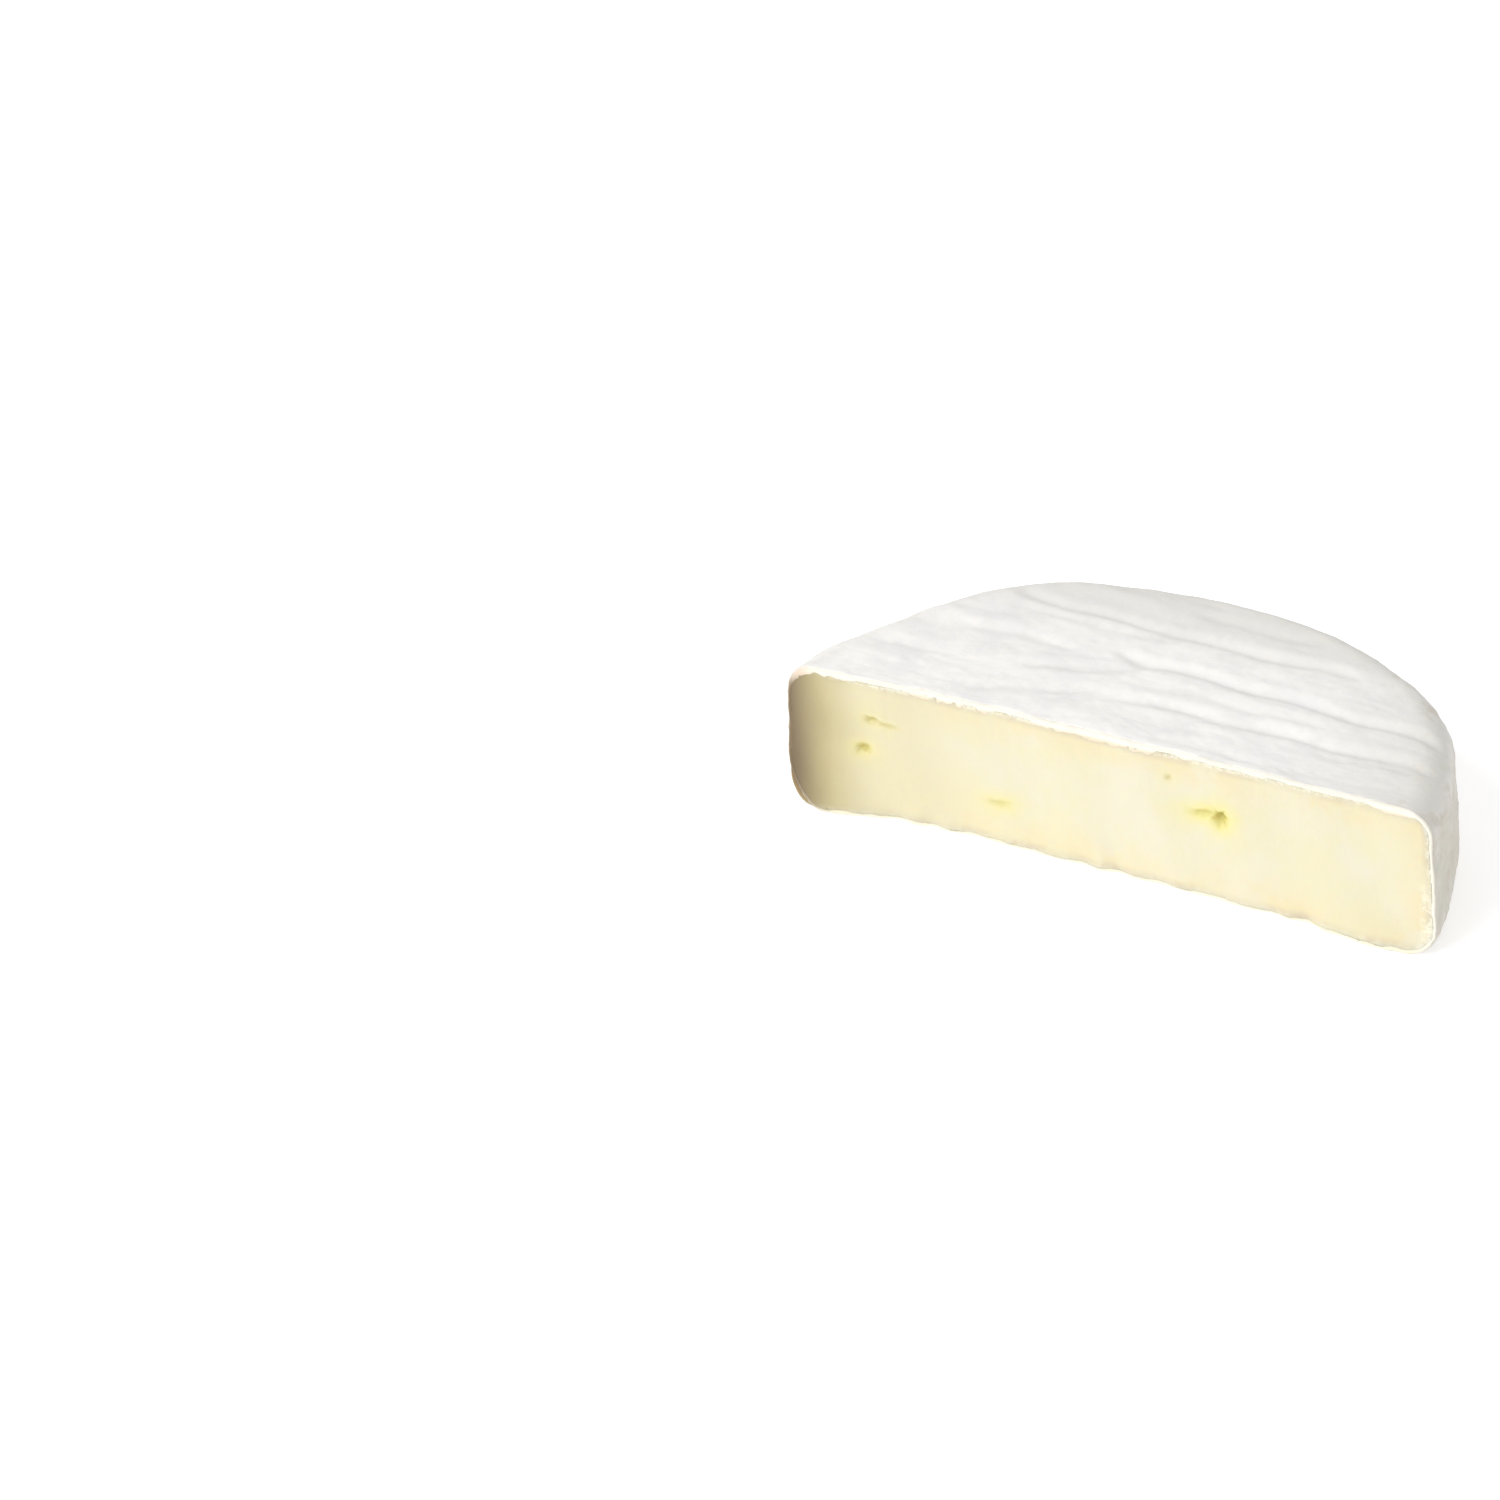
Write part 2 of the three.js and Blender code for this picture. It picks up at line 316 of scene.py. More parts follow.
@dataclass(frozen=True)
class HalfWheel:
    """Form of the half wheel, or of a smaller one inside it, in millimetres."""

    radius: float = FULL_RADIUS
    height: float = FULL_HEIGHT
    lift: float = 0.0
    top_rim: float = 5.6
    base_rim: float = 4.7
    taper: float = 0.7
    slump: float = TOP_SLIDE / FULL_HEIGHT
    crease_width: float = 1.4
    crease_end: float = 5.0
    wander: float = 0.45
    wander_length: float = 19.0
    lip: float = 0.3
    lip_offset: float = 2.6
    lip_width: float = 1.2
    tuck: float = 3.2
    tuck_spread: float = 0.45
    swell: TopSwell = TopSwell()
    cut: Cut = Cut()

    def inside(self, top: float, wall: float, base: float) -> "HalfWheel":
        """Form that lies within this one by a thickness of the top, the wall and the base."""
        return replace(
            self,
            radius=self.radius - wall,
            height=self.height - top - base,
            lift=self.lift + base,
            top_rim=self.top_rim - (top + wall) / 2,
            base_rim=self.base_rim - (base + wall) / 2,
        )

    def outline(self, around: Array) -> Array:
        """Radius of the base in the direction of an angle."""
        reach = np.full_like(around, self.radius)
        for wave in OUTLINE_WAVES:
            reach += wave.height * np.cos(wave.lobes * (around - math.radians(wave.crest)))
        return reach

    def lower_rim(self, around: Array) -> Array:
        """Radius of the lower edge in the direction of an angle: the left end is rounder."""
        return self.base_rim + self.tuck * hump(around - math.pi, self.tuck_spread)

    def section(self, base: Array, rim: Array, inward: Array, upward: Array) -> tuple[Array, Array]:
        """Maps a place on the upright section from the axis to the wall.

        Args:
            base: Radius of the wheel's base there.
            rim: Radius of its lower edge there.
            inward: 0 at the axis and 1 at the wall.
            upward: 0 at the base and 1 at the top.

        Returns:
            Distances from the axis, and heights.
        """
        corner = 1.0 - math.sqrt(0.5)  # the flat and the wall share a round edge half and half
        top = base - self.taper

        def on_top(share: Array) -> Array:
            """Places along the top, from the axis to the middle of its round edge."""
            reach = share * (top - self.top_rim * corner)
            return np.stack((reach, self.height - round_off(reach - top + self.top_rim, self.top_rim)))

        def on_base(share: Array) -> Array:
            """Places along the base, from the axis to the middle of its round edge."""
            reach = share * (base - rim * corner)
            return np.stack((reach, round_off(reach - base + rim, rim)))

        def on_wall(share: Array | float) -> Array:
            """Places up the wall, between the middles of its round edges."""
            low = rim * corner
            height = low + share * (self.height - self.top_rim * corner - low)
            straight = self.height - self.top_rim - rim
            lean = self.taper * np.clip((height - rim) / straight, 0.0, 1.0)
            fallen = round_off(rim - height, rim)
            fallen += round_off(height - self.height + self.top_rim, self.top_rim)
            return np.stack((base - lean - fallen, height))

        up_and_down = on_base(inward) * (1.0 - upward) + on_top(inward) * upward
        axis = np.stack((np.zeros_like(upward), upward * self.height))
        in_and_out = axis * (1.0 - inward) + on_wall(upward) * inward
        low = on_wall(0.0) * inward
        high = on_wall(1.0) * inward
        high[1] += self.height * (1.0 - inward)
        reach, height = up_and_down + in_and_out - low * (1.0 - upward) - high * upward
        return reach, height

    def beside(self, crease: Crease, x: Array, y: Array) -> tuple[Array, Array]:
        """Works out where places on the top lie beside a crease.

        Args:
            crease: The crease.
            x: Places along the cut.
            y: Places behind the cut.

        Returns:
            How far behind the crease they lie, and how much of it there is there, from 0 to 1.
        """
        start = np.array(crease.start, float)
        along = np.array(crease.end, float) - start
        length = float(np.hypot(*along))
        along /= length
        offset_x = x - start[0]
        offset_y = y - start[1]
        travel = offset_x * along[0] + offset_y * along[1]
        share = np.clip(travel / length, 0.0, 1.0)
        bow = crease.bow * arch(share)
        stray = self.wander * ripple(x, self.wander_length, start[1])
        behind = along[0] * offset_y - along[1] * offset_x - bow - stray
        run_out = Ramp(-self.crease_end / 2, self.crease_end / 2)
        return behind, run_out.at(travel) * run_out.at(length - travel)

    def crease_depth(self, crease: Crease, x: Array, y: Array) -> Array:
        """Depth of one crease at places on the top."""
        behind, there = self.beside(crease, x, y)
        raised = self.lip * hump(behind - self.lip_offset, self.lip_width)
        return crease.depth * there * (hump(behind, self.crease_width) - raised)

    def top_relief(self, x: Array, y: Array) -> Array:
        """Relief of the top: creases, with broad swells between them."""
        rise = self.swell.rise(x, y)
        for crease in CREASES:
            rise -= self.crease_depth(crease, x, y)
        return rise

    def wall_relief(self, around: Array, height: Array) -> Array:
        """Relief of the wall: soft lumps that fade out towards the flat faces."""
        rise = np.zeros_like(around)
        for lump in WALL_LUMPS:
            rise += lump.height * np.sin(lump.lobes * around + lump.lean * height + lump.turn)
        return rise * smooth(0, self.base_rim, height) * smooth(0, self.top_rim, self.height - height)

    def inward(self, corners: Array) -> Array:
        """How far from the axis corners of a block come, from 0 to 1 at the wall."""
        x_share, y_share = corners[:, :2].T
        return np.minimum(np.sqrt(x_share**2 + y_share**2 - x_share**2 * y_share**2), 1.0)

    def place(self, corners: Array) -> Array:
        """Moves corners of a block to their places on the half wheel."""
        x_share, y_share, upward = corners.T
        across = x_share * np.sqrt(1.0 - y_share**2 / 2.0)
        deep = y_share * np.sqrt(1.0 - x_share**2 / 2.0)
        around = np.arctan2(deep, across)
        inward = self.inward(corners)
        reach, height = self.section(self.outline(around), self.lower_rim(around), inward, upward)
        reach = reach + self.wall_relief(around, height) * inward**FADE_INWARD
        z = height + self.lift
        x = reach * np.cos(around) - self.slump * z
        y = reach * np.sin(around) * (1.0 - SHORT_OF_HALF / FULL_RADIUS)
        near_top = smooth(self.height - self.top_rim, self.height, height)
        z = z + self.top_relief(x, y) * near_top
        y = y + self.cut.line(x, z) * (1.0 - y_share) ** FADE_INWARD
        return np.stack((x, y, z), axis=1)


class Axis(Enum):
    """A direction of the block that is made into the half wheel."""

    ACROSS = 0
    DEEP = 1
    TALL = 2


def runs_along(edge: bmesh.types.BMEdge, axis: Axis) -> bool:
    """Whether an edge of a block runs along an axis."""
    one, other = edge.verts
    return abs(one.co[axis.value] - other.co[axis.value]) > NO_DISTANCE


def add_object(name: str, data: bpy.types.ID) -> bpy.types.Object:
    """Adds an object to the scene."""
    made = bpy.data.objects.new(name, data)
    bpy.context.scene.collection.objects.link(made)
    return made


def mesh_object(name: str, bm: bmesh.types.BMesh) -> bpy.types.Object:
    """Makes an object of a finished mesh."""
    mesh = bpy.data.meshes.new(name)
    bm.to_mesh(mesh)
    bm.free()
    return add_object(name, mesh)


@dataclass
class Block:
    """A block of facets, -1 to 1 across, 0 to 1 deep and 0 to 1 tall, that becomes a half wheel.

    Each vertex also holds its inset: how far inside the form it lies, from 0 to 1.
    """

    bm: bmesh.types.BMesh = field(default_factory=bmesh.new)

    def __post_init__(self) -> None:
        """Adds the layers for each vertex's inset, and for whether it is settled."""
        self.inset = self.bm.verts.layers.float.new("inset")
        self.settled = self.bm.verts.layers.float.new("settled")

    def is_fresh(self, vert: bmesh.types.BMVert) -> bool:
        """Whether a vertex was added since the last call of settle."""
        return vert[self.settled] < 0.5

    def settle(self) -> None:
        """Marks every vertex as done, so that the next ones are known as fresh."""
        for vert in self.bm.verts:
            vert[self.settled] = 1.0

    def layer(self, name: str) -> bmesh.types.BMLayerItem:
        """A layer of numbers on the vertices, made when it is first named."""
        layers = self.bm.verts.layers.float
        return layers.get(name) or layers.new(name)

    def add_open(self, across: int, deep: int, tall: int, front: float, inset: float, even: float) -> None:
        """Adds the five sides of the block that the cut doesn't reach.

        Args:
            across: Facets along the cut.
            deep: Facets from the cut to the back.
            tall: Facets up the wall.
            front: Share of the depth at which the sides start.
            inset: How far inside the form they lie, from 0 to 1.
            even: Size of the first facet behind the cut as a share of the mean one.
        """
        place = Matrix.Translation((0.0, 0.5, 0.5)) @ Matrix.Diagonal((2.0, 1.0, 1.0, 1.0))
        made = bmesh.ops.create_cube(self.bm, size=1.0, matrix=place)["verts"]
        faces = {f for v in made for f in v.link_faces}
        cut = [f for f in faces if f.calc_center_median().y < NO_DISTANCE]
        bmesh.ops.delete(self.bm, geom=cut, context="FACES_ONLY")
        for axis, parts in ((Axis.ACROSS, across), (Axis.DEEP, deep), (Axis.TALL, tall)):
            lines = [e for e in self.bm.edges if self.is_fresh(e.verts[0]) and runs_along(e, axis)]
            bmesh.ops.subdivide_edges(self.bm, edges=lines, cuts=parts - 1, use_grid_fill=True)
        for vert in filter(self.is_fresh, self.bm.verts):
            share = vert.co.y * (even + (1.0 - even) * vert.co.y)
            vert.co.y = front + (1.0 - front) * share
            vert[self.inset] = inset
        self.settle()

    def add_cut(self, across: int, tall: int, inset: float) -> None:
        """Adds the side of the block that is the cut."""
        upright = Matrix.Translation((0.0, 0.0, 0.5)) @ Matrix.Rotation(math.pi / 2, 4, "X")
        place = upright @ Matrix.Diagonal((1.0, 0.5, 1.0, 1.0))
        made = bmesh.ops.create_grid(self.bm, x_segments=across, y_segments=tall, size=1.0, matrix=place)
        for vert in made["verts"]:
            vert[self.inset] = inset
        self.settle()

    def rim(self) -> Edges:
        """The open edges."""
        return [e for e in self.bm.edges if e.is_boundary]

    def push_rim(self, edges: Edges, inset: float, back: float, parts: int) -> Edges:
        """Extrudes an open edge and moves it into the form.

        Args:
            edges: The open edge.
            inset: How far inside the form its new end lies.
            back: How far its new end moves back, as a share of the block's depth.
            parts: Facets along the way.

        Returns:
            The new open edge.
        """
        made = bmesh.ops.extrude_edge_only(self.bm, edges=edges)["geom"]
        ends = {v for v in made if isinstance(v, bmesh.types.BMVert)}
        for vert in ends:
            vert[self.inset] = inset
            vert.co.y += back
        rails = [e for e in self.bm.edges if (e.verts[0] in ends) != (e.verts[1] in ends)]
        new_rim = [e for e in made if isinstance(e, bmesh.types.BMEdge) and set(e.verts) <= ends]
        if parts > 1:
            bmesh.ops.subdivide_edges(self.bm, edges=rails, cuts=parts - 1, use_grid_fill=True)
        self.settle()
        return [e for e in new_rim if e.is_valid]

    def close(self, skirt: float, inset: float) -> None:
        """Closes the block with coarser sides that stay hidden behind its skirt.

        Args:
            skirt: How far back the skirt reaches, as a share of the block's depth.
            inset: How far inside the form the hidden sides lie, from 0 to 1.
        """
        self.add_open(*HIDDEN_FACETS, front=skirt + HIDDEN_GAP, inset=inset, even=1.0)
        bmesh.ops.bridge_loops(self.bm, edges=self.rim())

    def corners(self) -> Array:
        """Each vertex's place in the block, one to a row."""
        return np.array([v.co for v in self.bm.verts])

    def values(self, name: str) -> Array:
        """What a layer holds for each vertex."""
        layer = self.layer(name)
        return np.array([v[layer] for v in self.bm.verts])

    def store(self, layers: Layers) -> None:
        """Fills layers with a value for each vertex."""
        for name, values in layers.items():
            layer = self.layer(name)
            for vert, value in zip(self.bm.verts, values):
                vert[layer] = float(value)

    def move(self, places: Array) -> None:
        """Gives each vertex its place in millimetres."""
        for vert, place in zip(self.bm.verts, places):
            vert.co = place

    def normals(self) -> Array:
        """The direction in which each vertex faces."""
        bmesh.ops.recalc_face_normals(self.bm, faces=self.bm.faces)
        self.bm.normal_update()
        return np.array([v.normal for v in self.bm.verts])

    def finish(self, name: str, shift: Vector) -> bpy.types.Object:
        """Makes the object, in metres and in the frame's place."""
        bmesh.ops.recalc_face_normals(self.bm, faces=self.bm.faces)
        bmesh.ops.translate(self.bm, verts=self.bm.verts, vec=shift)
        bmesh.ops.scale(self.bm, verts=self.bm.verts, vec=(MM, MM, MM))
        for face in self.bm.faces:
            face.smooth = True
        return mesh_object(name, self.bm)


@dataclass(frozen=True)
class Span:
    """A range of a value, and the range that it is mapped to."""

    low: float
    high: float
    to_low: float = 0.0
    to_high: float = 1.0


@dataclass
class Tree:
    """A node tree with short ways to add and join nodes."""

    tree: NodeTree

    def feed(self, node: Node, inputs: Inputs) -> None:
        """Feeds a node's inputs with values or with other nodes' outputs."""
        for key, value in inputs.items():
            if isinstance(value, Socket):
                self.tree.links.new(value, node.inputs[key])
            else:
                node.inputs[key].default_value = value

    def add(self, kind: str, inputs: Inputs, **settings: object) -> Node:
        """Adds a node, sets it up, and feeds its inputs."""
        node = self.tree.nodes.new(kind)
        for key, value in settings.items():
            setattr(node, key, value)
        self.feed(node, inputs)
        return node

    def stretch(self, place: Socket, scale: Triple) -> Socket:
        """Scales a place along X, Y and Z."""
        return self.add("ShaderNodeMapping", {"Vector": place, "Scale": scale}).outputs["Vector"]

    def place(self) -> Socket:
        """The place on the piece, in millimetres."""
        return self.stretch(self.add("ShaderNodeTexCoord", {}).outputs["Object"], (1 / MM, 1 / MM, 1 / MM))

    def attribute(self, name: str) -> Socket:
        """A value that the mesh holds."""
        return self.add("ShaderNodeAttribute", {}, attribute_name=name).outputs["Fac"]

    def noise(self, place: Socket, scale: Socket | float, detail: float, roughness: float = 0.5) -> Socket:
        """A noise from 0 to 1, with about as many lumps to the millimetre as its scale says."""
        inputs = {"Vector": place, "Scale": scale, "Detail": detail, "Roughness": roughness}
        return self.add("ShaderNodeTexNoise", inputs).outputs["Fac"]

    def between(self, value: Socket, span: Span) -> Socket:
        """Maps a range of a value softly to another range."""
        inputs = {
            "Value": value,
            "From Min": span.low,
            "From Max": span.high,
            "To Min": span.to_low,
            "To Max": span.to_high,
        }
        return self.add("ShaderNodeMapRange", inputs, interpolation_type="SMOOTHSTEP").outputs["Result"]

    def math(self, kind: str, one: Socket | float, other: Socket | float) -> Socket:
        """Works out one value from two."""
        return self.add("ShaderNodeMath", {0: one, 1: other}, operation=kind).outputs["Value"]

    def times(self, one: Socket, other: Socket | float) -> Socket:
        """Multiplies two values."""
        return self.math("MULTIPLY", one, other)

    def tint(self, colour: Socket | Colour, *tints: tuple[Socket, Colour]) -> Socket:
        """Lays tints over a colour, one after the other, each as far as its own mask says."""
        for mask, tint in tints:
            inputs = {"Factor": mask, MIX_FROM: colour, MIX_TO: tint}
            colour = self.add("ShaderNodeMix", inputs, data_type="RGBA").outputs[MIXED]
        return colour

    def bump(self, height: Socket, depth: float) -> Socket:
        """Turns a height into a direction for the shader, with bumps of a depth in millimetres."""
        inputs = {"Height": height, "Strength": BUMP_STRENGTH, "Distance": depth * MM}
        return self.add("ShaderNodeBump", inputs).outputs["Normal"]


def shared_group(name: str, numbers: tuple[str, ...], output: str) -> tuple[Tree, Node, Node]:
    """Starts a shared group with a place and some numbers going in.

    Args:
        name: The group's name.
        numbers: Names of the numbers that go in beside the place.
        output: Name of the value that comes out.

    Returns:
        The group's tree, its input node and its output node.
    """
    made = bpy.data.node_groups.new(name, "ShaderNodeTree")
    made.interface.new_socket("Place", in_out="INPUT", socket_type="NodeSocketVector")
    for number in numbers:
        made.interface.new_socket(number, in_out="INPUT", socket_type="NodeSocketFloat")
    made.interface.new_socket(output, in_out="OUTPUT", socket_type="NodeSocketFloat")
    return Tree(made), made.nodes.new("NodeGroupInput"), made.nodes.new("NodeGroupOutput")


@dataclass(frozen=True)
class MottleGroup:
    """Soft patches of two sizes, for colours that drift over a surface."""

    broad_detail: float = 3.0
    small_detail: float = 4.0
    times_finer: float = 4.5
    contrast: Span = Span(0.36, 0.66)

    def make(self) -> NodeTree:
        """Makes the group."""
        tree, given, result = shared_group("mottle", ("Size", "Fine"), "Mask")
        place = given.outputs["Place"]
        fine = given.outputs["Fine"]
        scale = tree.math("DIVIDE", 1.0, given.outputs["Size"])
        broad = tree.noise(place, scale, self.broad_detail)
        small = tree.noise(place, tree.times(scale, self.times_finer), self.small_detail)
        total = tree.math("ADD", broad, tree.times(small, fine))
        patches = tree.math("SUBTRACT", total, tree.times(fine, NOISE_MIDDLE))
        tree.feed(result, {"Mask": tree.between(patches, self.contrast)})
        return tree.tree


@dataclass(frozen=True)
class GrainGroup:
    """Fine relief of a soft crumbly surface, as a height."""

    detail: float = 5.0

    def make(self) -> NodeTree:
        """Makes the group."""
        tree, given, result = shared_group("grain", ("Size", "Pits"), "Height")
        place = given.outputs["Place"]
        scale = tree.math("DIVIDE", 1.0, given.outputs["Size"])
        fine = tree.noise(place, scale, self.detail)
        cells = tree.add("ShaderNodeTexVoronoi", {"Vector": place, "Scale": scale}, feature="SMOOTH_F1")
        pits = tree.times(cells.outputs["Distance"], given.outputs["Pits"])
        tree.feed(result, {"Height": tree.math("ADD", fine, pits)})
        return tree.tree


@dataclass(frozen=True)
class Mottle:
    """One use of the soft patches: their size in millimetres, and the share of finer ones."""

    size: float
    fine: float

    def mask(self, tree: Tree, shared: NodeTree, place: Socket) -> Socket:
        """Places the shared group in a material."""
        inputs = {"Place": place, "Size": self.size, "Fine": self.fine}
        return tree.add("ShaderNodeGroup", inputs, node_tree=shared).outputs["Mask"]


@dataclass(frozen=True)
class Grain:
    """One use of the fine relief: its size in millimetres, and the share of its pits."""

    size: float
    pits: float

    def height(self, tree: Tree, shared: NodeTree, place: Socket) -> Socket:
        """Places the shared group in a material."""
        inputs = {"Place": place, "Size": self.size, "Pits": self.pits}
        return tree.add("ShaderNodeGroup", inputs, node_tree=shared).outputs["Height"]


def new_material(name: str) -> tuple[bpy.types.Material, Tree]:
    """Starts a material, and gives it with its tree."""
    made = bpy.data.materials.new(name)
    made.use_nodes = True
    return made, Tree(made.node_tree)


@dataclass(frozen=True)
class RindFinish:
    """Finish of the white mould rind: velvety, greyer with painted shade in its creases, warmer and greyer
    on the wall, partly as painted shade.
    """

    white: Colour = linear(240, 238, 234)
    cool: Colour = linear(233, 231, 229)
    # Greyer towards the right and back of the top.
    thin: Colour = linear(220, 218, 213)
    # Painted shade in the creases of the top.
    crease: Colour = linear(212, 211, 206)
    # The wall's own greyer, warmer tone, darkened further as painted shade of the sides.
    wall: Colour = linear(213, 208, 197)
    green: Colour = linear(204, 204, 189)
    worn: Colour = linear(204, 192, 180)
    edge: Colour = linear(238, 234, 220)
    under: Colour = linear(230, 214, 190)
    fringe: Colour = linear(240, 231, 206)
    # Painted shade at the left end of the cut edge: darker pink along its top, partly the rim's own pink,
    # and dark brown below.
    pink: Colour = linear(220, 198, 178)
    painted_shade_brown: Colour = linear(128, 110, 84)
    patches: Mottle = Mottle(size=9.0, fine=0.5)
    flecks: Mottle = Mottle(size=2.6, fine=0.8)
    greyer_far_top_share: float = 0.9
    crease_shade_share: float = 0.5
    green_share: Span = Span(0.2, 1.0, 0.1, 0.8)
    worn_share: float = 0.45
    edge_outer: Span = Span(0.02, 0.4)
    edge_inner: Span = Span(0.45, 0.8)
    fuzz: Grain = Grain(size=0.5, pits=0.5)
    softness: Grain = Grain(size=1.6, pits=0.2)
    softness_share: float = 2.0
    bump_depth: float = 0.12
    roughness: Span = Span(0.0, 1.0, 0.86, 0.95)
    specular: float = 0.25
    sheen: float = 0.15
    sheen_roughness: float = 0.6
    glow_through: float = 0.25
    glow_colour: Triple = (1.0, 0.9, 0.75)
    glow_depth: float = 0.6

    def material(self, mottle: NodeTree, grain: NodeTree) -> bpy.types.Material:
        """Makes the material.

        Args:
            mottle: The shared group of soft patches.
            grain: The shared group of fine relief.

        Returns:
            The material.
        """
        made, tree = new_material("mould_rind")
        place = tree.place()
        patches = self.patches.mask(tree, mottle, place)
        flecks = self.flecks.mask(tree, mottle, place)
        wall = tree.attribute("wall")
        edge = tree.attribute("edge")
        colour = tree.tint(
            self.white,
            (patches, self.cool),
            # Greyer towards the right and back of the top.
            (tree.times(tree.attribute("thin"), self.greyer_far_top_share), self.thin),
            # Painted shade along the near side of each crease.
            (tree.times(tree.attribute("crease"), self.crease_shade_share), self.crease),
            # The wall and, in patches, the top rim: their own greyer tone, partly painted shade.
            (wall, self.wall),
            (tree.times(wall, tree.between(patches, self.green_share)), self.green),
            (tree.times(tree.times(wall, flecks), self.worn_share), self.worn),
            (tree.between(edge, self.edge_outer), self.edge),
            (tree.between(edge, self.edge_inner), self.under),
            (tree.attribute("fringe"), self.fringe),
            # Painted shade over the left end of the cut edge, darker pink at its top and dark brown below.
            (tree.attribute("end_top"), self.pink),
            (tree.attribute("end_side"), self.painted_shade_brown),
        )
        fuzz = self.fuzz.height(tree, grain, place)
        soft = tree.times(self.softness.height(tree, grain, place), self.softness_share)
        inputs = {
            "Base Color": colour,
            "Normal": tree.bump(tree.math("ADD", fuzz, soft), self.bump_depth),
            "Roughness": tree.between(patches, self.roughness),
            "Specular IOR Level": self.specular,
            "Sheen Weight": self.sheen,
            "Sheen Roughness": self.sheen_roughness,
            "Subsurface Weight": self.glow_through,
            "Subsurface Radius": self.glow_colour,
            "Subsurface Scale": self.glow_depth * MM,
        }
        tree.feed(made.node_tree.nodes[SHADER], inputs)
        return made


@dataclass(frozen=True)
class PasteFinish:
    """Finish of the soft paste: cream, warmer under the rind, with painted shade, tan to dark brown, at its
    left end.
    """

    cream: Colour = linear(220, 214, 184)
    pale: Colour = linear(220, 215, 194)
    warm: Colour = linear(222, 211, 176)
    honey: Colour = linear(216, 208, 176)
    under: Colour = linear(204, 192, 170)
    # Painted shade at the left end of the cut: tan where it starts, dark brown at the very end.
    painted_shade_tan: Colour = linear(189, 177, 134)
    painted_shade_brown: Colour = linear(115, 98, 74)
    halo: Colour = linear(226, 218, 138)
    # Olive tone in the eyes, with painted shade that is darker in deeper eyes.
    hole_olive_and_shade: Colour = linear(206, 194, 112)
    crumb: Colour = linear(234, 228, 207)
    clouds: Mottle = Mottle(size=11.0, fine=0.3)
    patches: Mottle = Mottle(size=6.0, fine=0.4)
    bits: Mottle = Mottle(size=1.3, fine=0.6)
    warm_rim: Span = Span(0.5, 7.5, 1.0, 0.0)
    warm_share: Span = Span(0.0, 1.0, 0.35, 1.0)
    under_rim: Span = Span(0.3, 1.9, 1.0, 0.0)
    under_share: Span = Span(0.0, 1.0, 0.3, 0.8)
    painted_shade_tan_span: Span = Span(0.0, 0.75)
    painted_shade_brown_span: Span = Span(0.45, 1.05)
    crumb_share: Span = Span(0.1, 0.8, 0.1, 0.9)
    grain: Grain = Grain(size=0.7, pits=0.3)
    streak_width: float = 0.9
    streak_scale: Triple = (1.0, 1.0, 0.12)
    streak_detail: float = 3.0
    streak_roughness: float = 0.55
    streak_share: float = 1.2
    bump_depth: float = 0.1
    roughness: Span = Span(0.0, 1.0, 0.42, 0.55)
    specular: float = 0.35
    glow_through: float = 0.6
    glow_colour: Triple = (1.0, 0.75, 0.4)
    glow_depth: float = 1.6

    def material(self, mottle: NodeTree, grain: NodeTree) -> bpy.types.Material:
        """Makes the material.

        Args:
            mottle: The shared group of soft patches.
            grain: The shared group of fine relief.

        Returns:
            The material.
        """
        made, tree = new_material("soft_paste")
        place = tree.place()
        clouds = self.clouds.mask(tree, mottle, place)
        patches = self.patches.mask(tree, mottle, place)
        bits = self.bits.mask(tree, mottle, place)
        border = tree.attribute("border")
        end = tree.attribute("end")
        warm = tree.times(tree.between(border, self.warm_rim), tree.between(patches, self.warm_share))
        under = tree.times(tree.between(border, self.under_rim), tree.between(patches, self.under_share))
        colour = tree.tint(
            self.cream,
            (clouds, self.pale),
            (warm, self.warm),
            (tree.attribute("honey"), self.honey),
            (under, self.under),
            # Painted shade over the left end of the cut, tan and then dark brown.
            (tree.between(end, self.painted_shade_tan_span), self.painted_shade_tan),
            (tree.between(end, self.painted_shade_brown_span), self.painted_shade_brown),
            (tree.attribute("halo"), self.halo),
            # Painted shade in the eyes over their olive tone.
            (tree.attribute("hole_olive_and_shade"), self.hole_olive_and_shade),
            (tree.times(tree.attribute("crumb"), tree.between(bits, self.crumb_share)), self.crumb),
        )
        dragged = tree.stretch(place, self.streak_scale)
        streaks = tree.noise(dragged, 1.0 / self.streak_width, self.streak_detail, self.streak_roughness)
        fine = self.grain.height(tree, grain, place)
        height = tree.math("ADD", fine, tree.times(streaks, self.streak_share))
        inputs = {
            "Base Color": colour,
            "Normal": tree.bump(height, self.bump_depth),
            "Roughness": tree.between(clouds, self.roughness),
            "Specular IOR Level": self.specular,
            "Subsurface Weight": self.glow_through,
            "Subsurface Radius": self.glow_colour,
            "Subsurface Scale": self.glow_depth * MM,
        }
        tree.feed(made.node_tree.nodes[SHADER], inputs)
        return made


@dataclass(frozen=True)
class FloorFinish:
    """Finish of the plain pale floor."""

    white: Colour = linear(250, 250, 250)
    roughness: float = 0.9
    specular: float = 0.1
    glow: float = 0.28

    def material(self) -> bpy.types.Material:
        """Makes the material."""
        made, tree = new_material("pale_floor")
        inputs = {
            "Base Color": self.white,
            "Roughness": self.roughness,
            "Specular IOR Level": self.specular,
            "Emission Color": FULL_WHITE,
            "Emission Strength": self.glow,
        }
        tree.feed(made.node_tree.nodes[SHADER], inputs)
        return made


